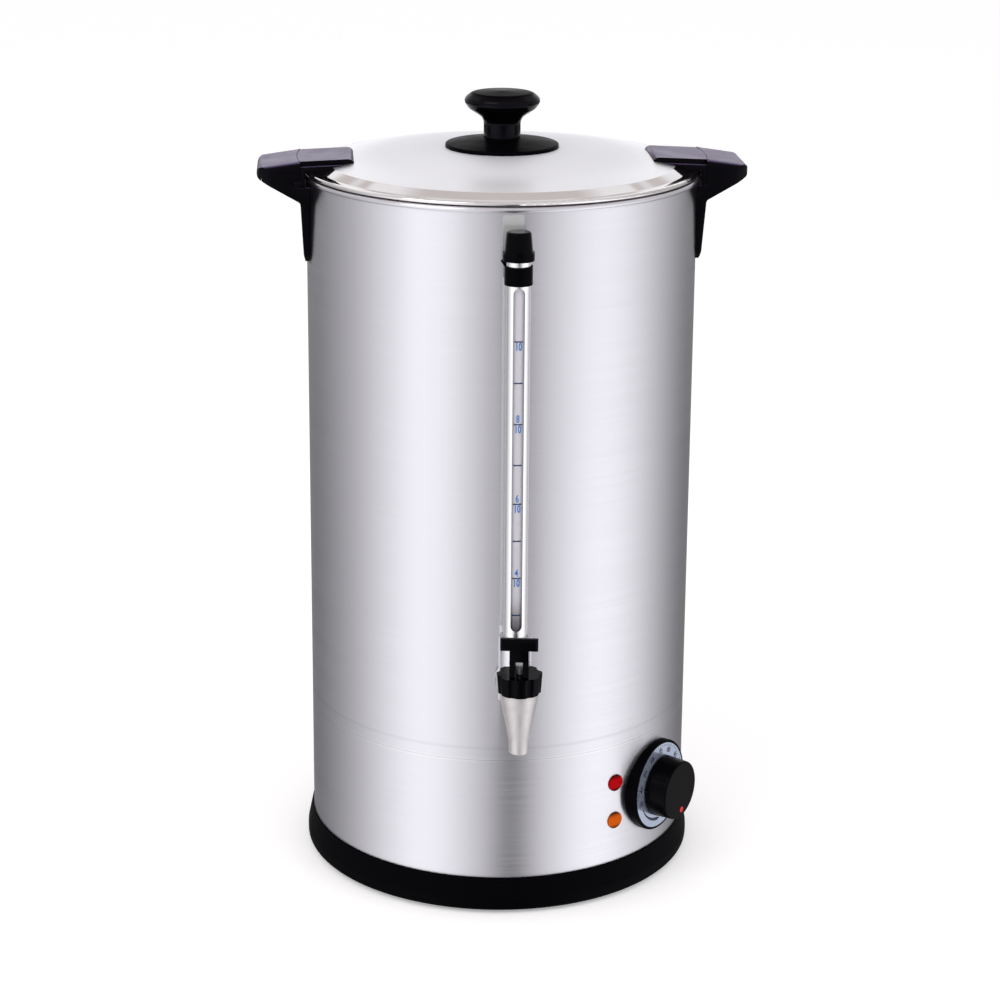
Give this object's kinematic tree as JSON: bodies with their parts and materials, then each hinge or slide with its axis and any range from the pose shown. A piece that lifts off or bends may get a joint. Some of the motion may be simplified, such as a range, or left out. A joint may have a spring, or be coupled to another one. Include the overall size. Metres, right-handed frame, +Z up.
{
  "type": "hot water urn",
  "caption": "Stainless hot water urn on a black base, with a twist-lock lid and knob, side handles, sight gauge, lever tap and thermostat dial",
  "frame": {"origin": "on the floor under the middle of the overall box; the tank axis stands 34.3 mm behind it because the tap reaches forward", "axes": "+Z up, -Y towards the tap and the user, +X to the right as seen from the tap"},
  "size_m": [0.374, 0.3806, 0.6107],
  "materials": {
    "brushed_steel": "vertical body, fine brushed",
    "sheet_steel": "mill finish sheet",
    "polished_steel": "polished stainless",
    "cast_steel": "satin blasted casting",
    "black_satin": "satin moulded",
    "black_gloss": "semi-gloss moulded",
    "galvanised": "zinc-coated sheet",
    "rubber": "matt",
    "screw_steel": "bright zinc",
    "gauge_glass": "clear tube",
    "silicone": "soft translucent white",
    "dial_silver": "printed satin plate",
    "red_print": "gloss red",
    "red_lens": "tinted lens",
    "amber_lens": "tinted lens",
    "pale_plastic": "moulded",
    "copper": "bare copper",
    "cast_aluminium": "as cast",
    "element_sheath": "heat-tinted sheath"
  },
  "bodies": {
    "urn": {"tank_wall": "brushed_steel", "base_skirt": "brushed_steel", "tank_floor": "sheet_steel", "base_ring": "black_satin", "base_plate": "galvanised", "feet": "rubber", "base_screws": "screw_steel", "handle_left": "black_satin", "handle_right": "black_satin", "handle_screws": "screw_steel", "gauge_strip": "polished_steel", "gauge_shield": "polished_steel", "gauge_glass": "gauge_glass", "gauge_collar": "black_satin", "gauge_cap": "black_gloss", "gauge_seal": "rubber", "tap_tee": "cast_steel", "tap_body": "cast_steel", "tap_bonnet": "black_gloss", "tap_washers": "rubber", "tap_nut": "cast_steel", "tap_spring": "screw_steel", "dial_bezel": "black_satin", "dial_plate": "dial_silver", "dial_screws": "screw_steel", "thermostat_body": "pale_plastic", "thermostat_bulb": "copper", "lamp_heating": "red_lens", "lamp_keep_warm": "amber_lens", "lamp_holders": "pale_plastic", "heater_plate": "cast_aluminium", "heating_element": "element_sheath", "keep_warm_element": "element_sheath", "dry_cutout": "pale_plastic", "terminal_block": "pale_plastic", "cord_gland": "black_satin"},
    "lid": {"lid_cover": "polished_steel", "lid_knob": "black_gloss", "knob_skirt": "black_satin", "knob_screw": "screw_steel", "lid_lug_left": "black_satin", "lid_lug_right": "black_satin", "lug_screws": "screw_steel"},
    "seat": {"seat_cup": "silicone"},
    "stem": {"tap_stem": "screw_steel", "lever_pin": "screw_steel"},
    "lever": {"tap_lever": "black_gloss"},
    "dial": {"dial_knob": "black_gloss", "dial_pointer": "red_print", "thermostat_shaft": "screw_steel"},
    "reset": {"reset_button": "red_print"}
  },
  "joints": [
    {"name": "lid_twist", "type": "hinge", "parent": "urn", "child": "lid", "pos_m": [0, 0.0343, 0.55], "axis": [0, 0, 1], "range_deg": [0, 28]},
    {"name": "tap_lift", "type": "slide", "parent": "urn", "child": "seat", "axis": [0, 0, 1], "range_m": [0, 0.0047], "stiffness_N_per_m": 60, "springref_m": -0.004, "deforming": ["tap_spring"]},
    {"name": "tap_swivel", "type": "hinge", "parent": "seat", "child": "stem", "pos_m": [0, -0.1737, 0.2], "axis": [0, 0, 1], "continuous": true},
    {"name": "tap_lever", "type": "hinge", "parent": "stem", "child": "lever", "pos_m": [0, -0.1737, 0.2267], "axis": [0.9925, -0.1219, 0], "range_deg": [0, 32]},
    {"name": "thermostat_knob", "type": "hinge", "parent": "urn", "child": "dial", "pos_m": [0.12201, -0.0645, 0.0785], "axis": [-0.7771, 0.6293, 0], "range_deg": [0, 290]},
    {"name": "reset_press", "type": "slide", "parent": "urn", "child": "reset", "axis": [0, 0, 1], "range_m": [0, 0.002], "stiffness_N_per_m": 500, "springref_m": -0.002}
  ],
  "couplings": [
    {"joint": "tap_lever", "follows": "tap_lift", "rad_per_m": 111.11}
  ]
}
